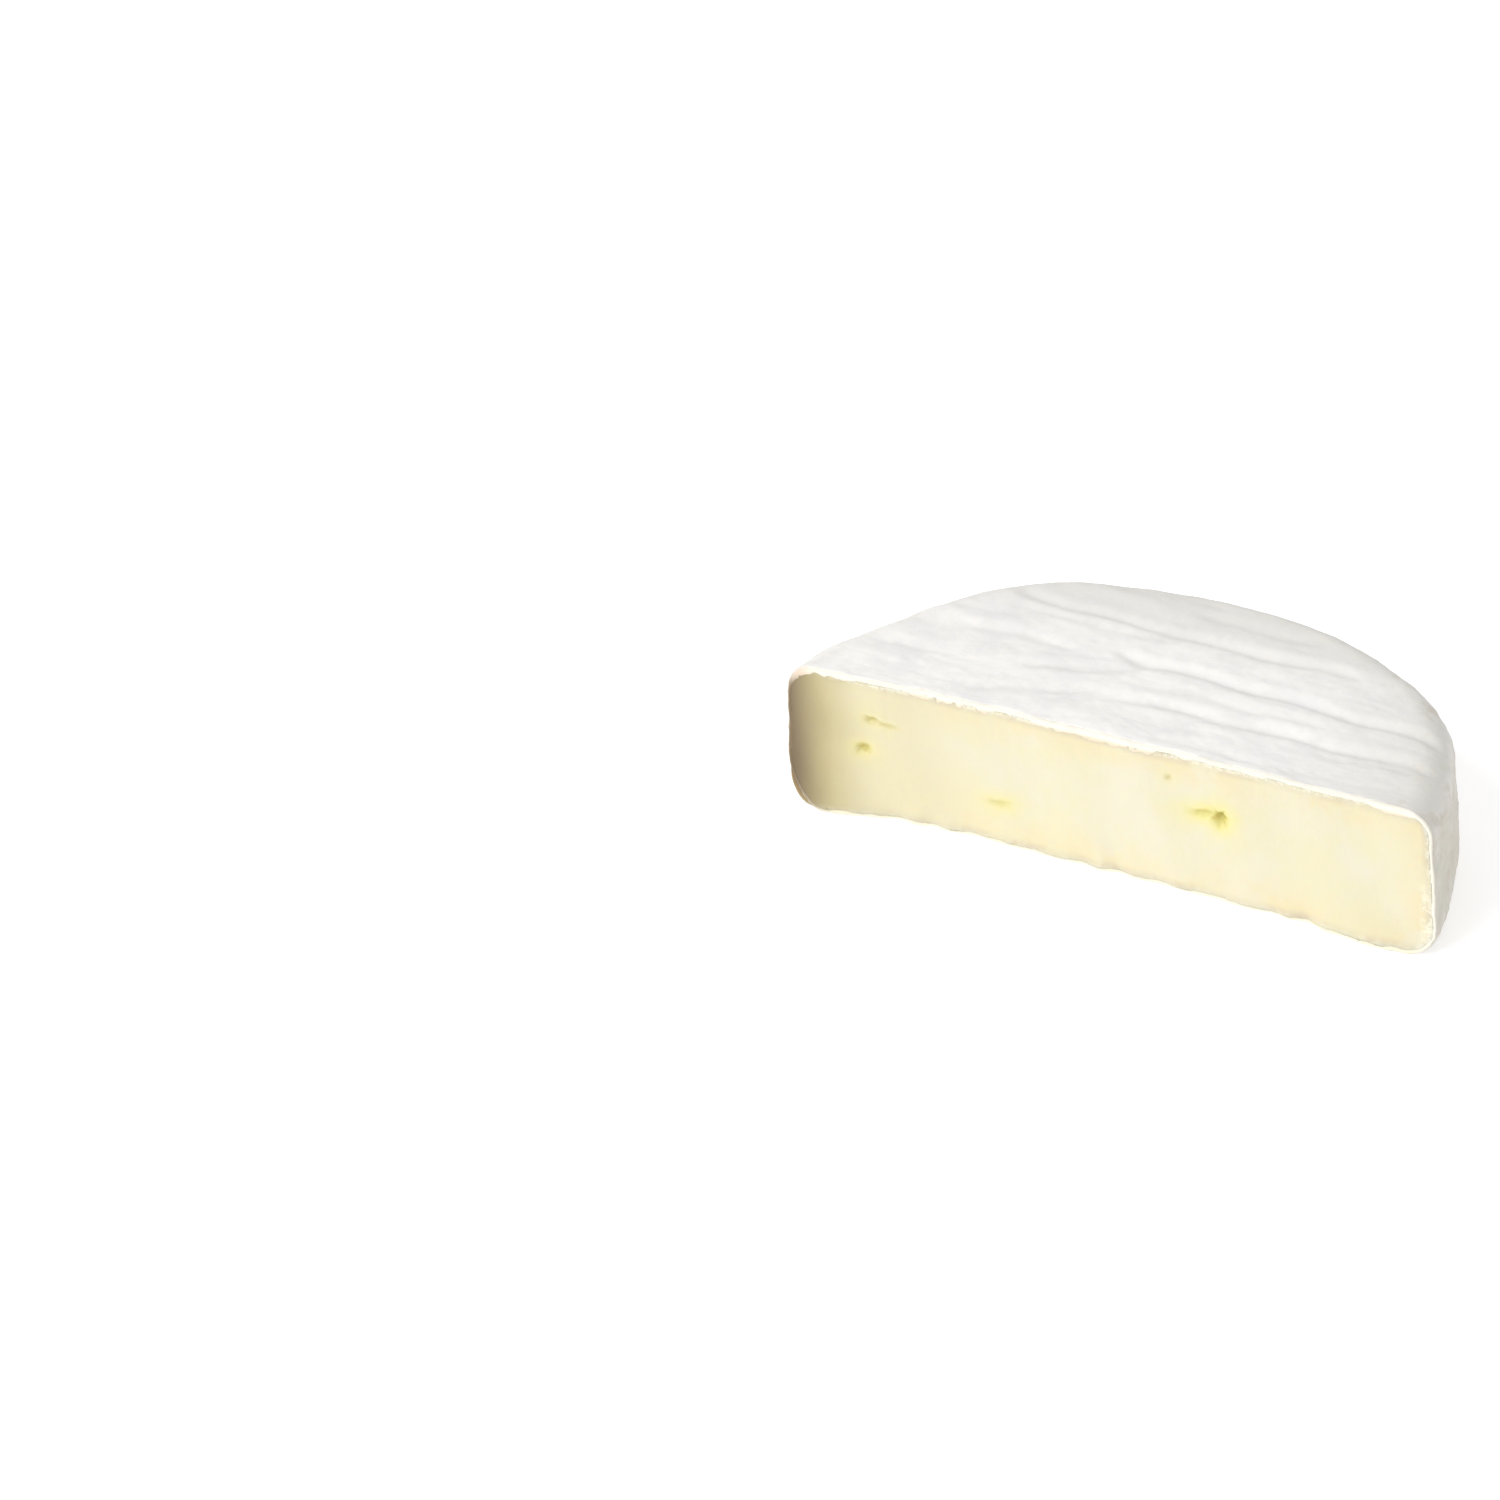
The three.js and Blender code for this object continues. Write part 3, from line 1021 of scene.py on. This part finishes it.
@dataclass(frozen=True)
class CutEdge:
    """The rind's cut edge: round at the outer skin, proud in its middle, and diving under the paste.

    It wavers and crumbles all along, more so at the top, and is torn at the base of the right end.
    """

    proud: float = 0.12
    dive: float = 0.75
    dive_power: int = 4
    shoulder: float = 0.16
    shoulder_power: int = 6
    waver: Rough = Rough((4.2, 4.2, 3.0), 3, 4.7)
    waver_reach: float = 0.7
    waver_most: float = 0.22
    waver_below: float = 0.5
    waver_top: Ramp = Ramp(FULL_HEIGHT - 4.0, FULL_HEIGHT - 1.0)
    waver_across: Ramp = Ramp(0.0, 0.4)
    crumbs: Rough = Rough((0.8, 0.8, 0.8), 2, 9.1)
    crumb: float = 0.06
    torn_right: Ramp = Ramp(46.0, 56.0)
    torn_low: Ramp = Ramp(16.0, 10.0)
    torn_crumb: float = 0.14
    torn_out: float = 0.3

    def back(self, places: Array, inset: Array) -> Array:
        """Works out how far back from the cut the edge lies.

        Args:
            places: Points in millimetres, one to a row.
            inset: How far across the edge each is, from 0 at the outer skin to 1 at the paste.

        Returns:
            The way back for each place, below 0 where the edge stands proud.
        """
        x, _, z = places.T
        waver = self.waver.at(places)
        torn = self.torn_right.at(x) * self.torn_low.at(z)
        share = self.waver_below + (1.0 - self.waver_below) * self.waver_top.at(z)
        stray = np.minimum(waver, self.waver_most) * self.waver_across.at(inset)
        across = np.clip(inset + self.waver_reach * share * stray, 0.0, 1.0)
        back = -self.proud * np.sin(math.pi * across)
        back += self.dive * across**self.dive_power + self.shoulder * (1.0 - inset) ** self.shoulder_power
        back += (self.crumb + self.torn_crumb * torn) * self.crumbs.at(places)
        return back - self.torn_out * torn * np.maximum(waver, 0.0)


@dataclass(frozen=True)
class Folds:
    """The sharp fold along each crease: a groove, a low shelf behind it, and the shade that lies in it."""

    height: float = 0.07
    width: float = 1.0
    shelf: float = 3.5
    groove: float = 1.2
    fading: float = 0.3
    fading_length: float = 17.0
    shade_offset: float = 0.8
    shade_width: float = 1.2

    def along(self, wheel: HalfWheel, x: Array, y: Array) -> tuple[Array, Array]:
        """Works out the folds of the top.

        Args:
            wheel: The form that carries the creases.
            x: Places along the cut.
            y: Places behind the cut.

        Returns:
            Heights of the folds, and how much each place is in the shade of one, from 0 to 1.
        """
        rise = np.zeros_like(x)
        shade = np.zeros_like(x)
        for crease in CREASES:
            behind, there = wheel.beside(crease, x, y)
            fading = 1.0 - self.fading + self.fading * ripple(x, self.fading_length, crease.start[0])
            weight = there * fading * crease.depth / DEEPEST_CREASE
            step = smooth(-self.width, 2 * self.width, behind) * hump(np.maximum(behind, 0.0), self.shelf)
            rise += self.height * weight * (step - self.groove * hump(behind, self.width))
            shade = np.maximum(shade, weight * hump(behind + self.shade_offset, self.shade_width))
        return rise, shade


@dataclass(frozen=True)
class Skin:
    """Fine wrinkles, lumps and pores of the outer skin, its dented base, and its round corner at the cut.

    The wrinkles run along the cut, and sweep to the front on the left of the top. The ramps flat, base
    and corner_under are read by how far upward the skin faces, from -1 to 1. The ramp rim is read by
    how near the wall a place is, and fade by how far across the cut edge.
    """

    bend: Rough = Rough((14.0, 14.0, 14.0), 2, 5.2)
    bend_reach: float = 1.6
    sweep: float = 16.0
    sweep_right: Ramp = Ramp(-35.0, -5.0)
    sweep_front: Ramp = Ramp(28.0, 16.0)
    wrinkles: Rough = Rough((7.5, 2.0, 4.0), 3, 1.3)
    wrinkle: float = 0.10
    lumps: Rough = Rough((3.4, 2.2, 2.6), 3, 7.9)
    flat_lump: float = 0.09
    wall_lump: float = 0.16
    pores: Rough = Rough((1.4, 1.2, 1.2), 2, 2.2)
    pore: float = 0.035
    dent: float = 0.25
    flat: Ramp = Ramp(0.5, 0.95)
    base: Ramp = Ramp(-0.6, -0.95)
    rim: Ramp = Ramp(0.82, 0.98)
    rim_calm: float = 0.6
    corner: float = 0.1
    corner_width: float = 0.8
    corner_under: Ramp = Ramp(0.3, -0.6)
    fade: Ramp = Ramp(0.0, 0.5)

    def rise(self, wheel: HalfWheel, places: Array, upward: Array, inward: Array, folds: Array) -> Array:
        """Works out how far the skin stands out from the form.

        Args:
            wheel: The form.
            places: Points in millimetres, one to a row.
            upward: How far upward each faces, from -1 to 1.
            inward: 0 at the wheel's axis and 1 at its wall.
            folds: Height of the folds of the top at each.

        Returns:
            How far each place stands out.
        """
        x, y, z = places.T
        bent = places.copy()
        bent[:, 1] += self.bend_reach * self.bend.at(places)
        bent[:, 1] -= self.sweep * self.sweep_right.at(x) * self.sweep_front.at(y)
        wrinkles = self.wrinkles.at(bent)
        lumps = self.lumps.at(places)
        on_flat = self.flat.at(np.abs(upward))
        calm = 1.0 - self.rim_calm * self.rim.at(inward)
        height = on_flat * (self.wrinkle * wrinkles + self.flat_lump * lumps + folds) * calm
        height += (1.0 - on_flat) * self.wall_lump * lumps + self.pore * self.pores.at(places)
        on_base = self.base.at(upward)
        height = height * (1.0 - on_base) - self.dent * np.abs(wrinkles) * on_base
        behind = np.maximum(y - wheel.cut.line(x, z), 0)
        return height - self.corner * hump(behind, self.corner_width) * (1.0 - self.corner_under.at(upward))


@dataclass(frozen=True)
class RindTints:
    """Where the rind takes its tints: the fringe and the painted shade at the left end of its cut edge, and
    parts of its skin.

    The ramps skin_top, wall and base are read by how far upward or downward the skin faces.
    """

    fringe: float = 0.85
    fringe_across: Ramp = Ramp(0.1, 0.4)
    fringe_low: Ramp = Ramp(2.4, 1.0)
    # Where the painted shade of the left end starts and where it is full; higher up it starts later.
    end_start: float = -46.0
    end_full: float = -57.0
    end_later: float = 6.0
    end_later_up: Ramp = Ramp(4.0, 10.0)
    end_across: Ramp = Ramp(0.0, 0.3)
    end_high: Ramp = Ramp(20.0, 24.0)
    skin_top: Ramp = Ramp(0.3, 0.8)
    # The top grows greyer towards the right and towards the back.
    greyer_to_right: Ramp = Ramp(22.0, 52.0)
    greyer_to_back: Ramp = Ramp(28.0, 48.0)
    stray: Rough = Rough((5.0, 5.0, 5.0), 3, 3.9)
    # The wall mask below: partly the wall's own greyer tone, partly painted shade of the sides and top rim.
    wall: Ramp = Ramp(-0.1, 0.8)
    wall_stray: float = 0.15
    base: Ramp = Ramp(0.5, 1.0)
    rim: Ramp = Ramp(0.885, 1.0)
    rim_stray: float = 0.04
    rim_least: float = 0.2
    rim_patches: Rough = Rough((3.0, 4.5, 3.0), 3, 1.7)
    rim_patch_share: float = 0.7
    rim_patch_edge: Ramp = Ramp(0.05, 0.6)
    rim_patch_right: Ramp = Ramp(0.0, 40.0)

    def cut_edge(self, places: Array, at_cut: Array, inset: Array) -> Layers:
        """Works out the tints of the cut edge.

        Args:
            places: Points in millimetres, one to a row.
            at_cut: Whether each is on the cut.
            inset: How far across the edge each is, from 0 at the outer skin to 1 at the paste.

        Returns:
            Masks by the name of their layer.
        """
        x, _, z = places.T
        # The left end's painted shade on the cut edge, split into its top and the rest.
        end = smooth(self.end_start - self.end_later * self.end_later_up.at(z), self.end_full, x)
        end = end * at_cut * self.end_across.at(inset)
        high = self.end_high.at(z)
        return {
            "edge": np.where(at_cut, inset, 0.0),
            "fringe": at_cut * self.fringe_across.at(inset) * self.fringe_low.at(z) * self.fringe,
            "end_top": end * high,
            "end_side": end * (1.0 - high),
        }

    def skin(self, places: Array, upward: Array, inward: Array, shade: Array) -> Layers:
        """Works out the tints of the skin.

        Args:
            places: Points in millimetres, one to a row.
            upward: How far upward each faces, from -1 to 1.
            inward: 0 at the wheel's axis and 1 at its wall.
            shade: How much each is in the shade of a fold.

        Returns:
            Masks by the name of their layer.
        """
        x, y, z = places.T
        on_top = self.skin_top.at(upward)
        stray = self.stray.at(places)
        # The sides, and in patches the top rim, more so towards the right: greyer partly by their own tone,
        # partly as painted shade.
        on_wall = 1.0 - self.wall.at(np.maximum(upward, 0.0) + self.wall_stray * stray)
        on_wall = on_wall * (1.0 - self.base.at(np.maximum(-upward, 0.0)))
        on_rim = self.rim.at(inward + self.rim_stray * stray) * (z > FULL_HEIGHT / 2)
        rim_patches = self.rim_patch_edge.at(self.rim_patches.at(places)) * self.rim_patch_right.at(x)
        return {
            # Painted shade of the folds, on the top only.
            "crease": shade * on_top,
            "thin": np.clip(self.greyer_to_right.at(x) + self.greyer_to_back.at(y), 0.0, 1.0) * on_top,
            "wall": np.maximum(on_wall, on_rim * (self.rim_least + self.rim_patch_share * rim_patches)),
        }


@dataclass
class Rind:
    """The white mould rind: a shell that is open at the cut, with its cut edge standing a little proud."""

    wheel: HalfWheel
    top: float = 2.1
    wall: float = 1.25
    base: float = 0.8
    across: int = 280
    deep: int = 92
    tall: int = 56
    first_facet: float = 0.5
    edge_facets: int = 8
    skirt: float = 0.05
    skirt_facets: int = 2
    cut_edge: CutEdge = CutEdge()
    folds: Folds = Folds()
    skin: Skin = Skin()
    tints: RindTints = RindTints()

    def block(self) -> Block:
        """Makes the block: outer sides, cut edge, skirt and inner sides."""
        made = Block()
        made.add_open(self.across, self.deep, self.tall, front=0.0, inset=0.0, even=self.first_facet)
        edge = made.push_rim(made.rim(), inset=1.0, back=0.0, parts=self.edge_facets)
        made.push_rim(edge, inset=1.0, back=self.skirt, parts=self.skirt_facets)
        made.close(self.skirt, inset=1.0)
        return made

    def form(self, corners: Array, inset: Array) -> Array:
        """Works out where each vertex goes.

        Args:
            corners: Places in the block, one to a row.
            inset: How far inside the form each is, from 0 to 1.

        Returns:
            Places in millimetres.
        """
        outer = self.wheel.place(corners)
        inner = self.wheel.inside(self.top, self.wall, self.base).place(corners)
        places = outer + (inner - outer) * inset[:, None]
        places[:, 1] += np.where(on_cut(corners), self.cut_edge.back(places, inset), 0.0)
        return places

    def build(self, shift: Vector) -> bpy.types.Object:
        """Makes the shell."""
        block = self.block()
        corners = block.corners()
        inset = block.values("inset")
        places = self.form(corners, inset)
        block.store(self.tints.cut_edge(places, on_cut(corners), inset))
        block.move(places)
        facing = block.normals()
        upward = facing[:, 2]
        inward = self.wheel.inward(corners)
        folds, shade = self.folds.along(self.wheel, places[:, 0], places[:, 1])
        block.store(self.tints.skin(places, upward, inward, shade))
        rise = self.skin.rise(self.wheel, places, upward, inward, folds) * (1.0 - self.skin.fade.at(inset))
        block.move(places + facing * rise[:, None])
        return block.finish("rind", shift)


@dataclass(frozen=True)
class Hollows:
    """How the eyes look in the cut: their soft uneven edges, their olive tone with painted shade, darker in
    deeper eyes, and the yellow round them.
    """

    uneven: Rough = Rough((1.3, 1.3, 0.9), 3, 5.5)
    edge_stray: float = 0.25
    edge_width: float = 0.8
    dark_width: float = 0.85
    least_dark: float = 0.3
    dark_depth: float = 2.2
    halo_stray: float = 0.2
    halo_width: float = 1.1
    halo_wider: float = 1.3
    halo_taller: float = 1.1

    def at(self, x: Array, z: Array) -> tuple[Array, Array, Array]:
        """Works out the hollows.

        Args:
            x: Places along the cut.
            z: Places up the cut.

        Returns:
            The depth of the hollows, how dark their olive tone and painted shade are, and how yellow the
            paste is round them.
        """
        depth = np.zeros_like(x)
        dark = np.zeros_like(x)
        halo = np.zeros_like(x)
        uneven = self.uneven.at(np.stack((x, np.zeros_like(x), z), axis=1))
        for eye in EYES:
            inner = np.maximum(eye.away(x, z, 0.0, 0.0) + self.edge_stray * uneven, 0.0)
            outer = eye.away(x, z, self.halo_wider, self.halo_taller) + self.halo_stray * uneven
            # Painted shade in each eye, darker in deeper ones.
            darkest = min(self.least_dark + eye.deep / self.dark_depth, 1.0)
            depth = np.maximum(depth, eye.deep * hump(inner, self.edge_width))
            dark = np.maximum(dark, hump(inner, self.dark_width) * darkest)
            halo = np.maximum(halo, hump(np.maximum(outer, 0.0), self.halo_width) * eye.yellow)
        return depth, dark, halo


@dataclass(frozen=True)
class PasteTints:
    """Where the paste takes its tints: crumbs along its border, honey on the left, and the painted shade of
    its left end.

    Honey and the painted shade of the left end lean to the left with height. The crumbs grow sparse at the
    base and on the left, and more of them are torn loose at the base of the right end.
    """

    crumb_border: Ramp = Ramp(1.0, 0.2)
    crumb_base: Ramp = Ramp(0.8, 2.0)
    least_at_base: float = 0.4
    crumb_left: Ramp = Ramp(-56.0, -44.0)
    torn_right: Ramp = Ramp(40.0, 52.0)
    torn_low: Ramp = Ramp(16.0, 8.0)
    torn_side: Ramp = Ramp(2.6, 1.2)
    lean: float = 0.14
    lean_from: float = 13.0
    honey: Ramp = Ramp(-16.0, -44.0)
    # Where the painted shade of the left end starts, and over how far it grows to full.
    end_start: float = -41.5
    end_length: float = 16.5
    drift: Rough = Rough((12.0, 12.0, 12.0), 2, 6.1)
    drift_reach: float = 1.2
    drift_right: Ramp = Ramp(-56.0, -50.0)

    def layers(self, core: HalfWheel, corners: Array, places: Array) -> Layers:
        """Works out the tints.

        Args:
            core: The form of the paste.
            corners: Places in the block, one to a row.
            places: The same places in millimetres.

        Returns:
            Masks, and the distance from the border in millimetres, by the name of their layer.
        """
        x, _, z = places.T
        at_cut = on_cut(corners)
        from_sides = (1.0 - np.abs(corners[:, 0])) * FULL_RADIUS
        from_base = z - core.lift
        from_top = core.lift + core.height - z
        border = np.minimum(from_sides, np.minimum(from_base, from_top))
        at_border = self.least_at_base + (1.0 - self.least_at_base) * self.crumb_base.at(from_base)
        at_border = self.crumb_border.at(border) * at_border
        torn = self.torn_right.at(x) * self.torn_low.at(z) * self.torn_side.at(from_sides)
        leaning = x + self.lean * (z - self.lean_from)
        drift = self.drift_reach * self.drift.at(places) * self.drift_right.at(x)
        return {
            "border": np.where(at_cut, border, 0.0),
            "crumb": at_cut * np.maximum(at_border, torn) * self.crumb_left.at(x),
            "honey": self.honey.at(leaning),
            # Mask of the left end's painted shade, from 0 where it starts to 1 at the end.
            "end": np.clip((self.end_start - leaning - drift) / self.end_length, 0.0, 1.0),
        }


@dataclass
class Paste:
    """The soft paste: the core of the half, with the blade's marks and the eyes in its cut."""

    wheel: HalfWheel
    top: float = 1.0
    wall: float = 0.65
    base: float = 0.4
    across: int = 520
    tall: int = 110
    skirt: float = 0.03
    skirt_facets: int = 2
    waves: Rough = Rough((9.0, 9.0, 14.0), 3, 3.3)
    wave: float = 0.10
    grain: Rough = Rough((1.4, 1.4, 2.4), 3, 8.4)
    grain_depth: float = 0.035
    hollows: Hollows = Hollows()
    tints: PasteTints = PasteTints()

    def block(self) -> Block:
        """Makes the block: the cut, its skirt and the sides."""
        made = Block()
        made.add_cut(self.across, self.tall, inset=0.0)
        made.push_rim(made.rim(), inset=0.0, back=self.skirt, parts=self.skirt_facets)
        made.close(self.skirt, inset=0.0)
        return made

    def build(self, shift: Vector) -> bpy.types.Object:
        """Makes the core."""
        block = self.block()
        corners = block.corners()
        at_cut = on_cut(corners)
        core = self.wheel.inside(self.top, self.wall, self.base)
        places = core.place(corners)
        depth, dark, halo = self.hollows.at(places[:, 0], places[:, 2])
        face = depth + self.wave * self.waves.at(places) + self.grain_depth * self.grain.at(places)
        places[:, 1] += np.where(at_cut, face, 0.0)
        block.store(self.tints.layers(core, corners, places))
        # Painted shade in the eyes over their olive tone, and the yellow round them.
        block.store({"hole_olive_and_shade": np.where(at_cut, dark, 0.0), "halo": np.where(at_cut, halo, 0.0)})
        block.move(places)
        return block.finish("paste", shift)


@dataclass(frozen=True)
class Lamp:
    """A soft square light that points at the cheese: its place and width in metres, its power in watts."""

    name: str
    place: Triple
    size: float
    power: float

    def hang(self) -> None:
        """Hangs the lamp."""
        data = bpy.data.lights.new(self.name, "AREA")
        data.shape = "SQUARE"
        data.size = self.size
        data.energy = self.power
        lamp = add_object(self.name, data)
        lamp.location = self.place
        lamp.rotation_euler = (-Vector(self.place)).to_track_quat("-Z", "Y").to_euler()


@dataclass
class Studio:
    """The plain pale floor, soft light and the camera at the photograph's viewing angle.

    The camera's place is in millimetres and its angles are in degrees; its lens and sensor are in
    millimetres too. The floor and how near and far the camera sees are in metres.
    """

    floor_size: float = 6.0
    floor_facets: int = 4
    lamps: tuple[Lamp, ...] = (
        Lamp("key", (-0.8, -1.35, 1.1), 1.3, 23.0),
        Lamp("overhead", (0.1, 0.2, 1.8), 1.6, 5.0),
    )
    sky_strength: float = 0.6
    camera_place: Triple = (262.11, -623.75, 400.85)
    yaw: float = 27.74
    pitch: float = 29.29
    lens: float = 115.7
    sensor: float = 36.0
    nearest: float = 0.01
    farthest: float = 20.0

    def floor(self) -> bpy.types.Object:
        """Makes the floor."""
        bm = bmesh.new()
        facets = self.floor_facets
        bmesh.ops.create_grid(bm, x_segments=facets, y_segments=facets, size=self.floor_size / 2)
        made = mesh_object("floor", bm)
        made.data.materials.append(FloorFinish().material())
        return made

    def sky(self) -> None:
        """Fills the room with even white light."""
        world = bpy.data.worlds.new("studio")
        world.use_nodes = True
        background = world.node_tree.nodes["Background"]
        background.inputs["Color"].default_value = FULL_WHITE
        background.inputs["Strength"].default_value = self.sky_strength
        bpy.context.scene.world = world

    def camera(self, shift: Vector) -> None:
        """Stands the camera where the photograph was taken from."""
        data = bpy.data.cameras.new("camera")
        data.lens = self.lens
        data.sensor_width = self.sensor
        data.clip_start = self.nearest
        data.clip_end = self.farthest
        camera = add_object("camera", data)
        camera.location = (Vector(self.camera_place) + shift) * MM
        camera.rotation_euler = (math.radians(90.0 - self.pitch), 0.0, math.radians(self.yaw))
        bpy.context.scene.camera = camera

    def build(self, shift: Vector) -> None:
        """Makes all of it."""
        self.floor()
        for lamp in self.lamps:
            lamp.hang()
        self.sky()
        self.camera(shift)
        bpy.context.scene.view_settings.view_transform = "Standard"
        bpy.context.scene.view_settings.look = "None"


def way_to_frame(wheel: HalfWheel) -> Vector:
    """The way from the form's place to the frame's: both boxes have the same middle, and stand on z = 0."""
    block = Block()
    block.add_open(*MEASURED_FACETS, front=0.0, inset=0.0, even=1.0)
    places = wheel.place(block.corners())
    block.bm.free()
    low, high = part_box(NODE)
    middle = (low + high) / 2 / MM
    own = (places.min(axis=0) + places.max(axis=0)) / 2
    return Vector((middle.x - own[0], middle.y - own[1], 0.0))


def dress(piece: bpy.types.Object, finish: bpy.types.Material) -> None:
    """Gives a piece its finish and says what it stands for."""
    piece.data.materials.append(finish)
    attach(piece, BODY)
    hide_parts(NODE)
    log.info("%s: %d faces", piece.name, len(piece.data.polygons))


def main() -> None:
    """Builds the half cheese and the studio round it."""
    logging.basicConfig(level=logging.INFO, format="%(message)s")
    mottle = MottleGroup().make()
    grain = GrainGroup().make()
    wheel = HalfWheel()
    shift = way_to_frame(wheel)
    log.info("the form lies %.3f %.3f mm from the frame's place", shift.x, shift.y)
    rind = Rind(wheel).build(shift)
    dress(rind, RindFinish().material(mottle, grain))
    paste = Paste(wheel).build(shift)
    dress(paste, PasteFinish().material(mottle, grain))
    Studio().build(shift)


if __name__ == "__main__":
    main()
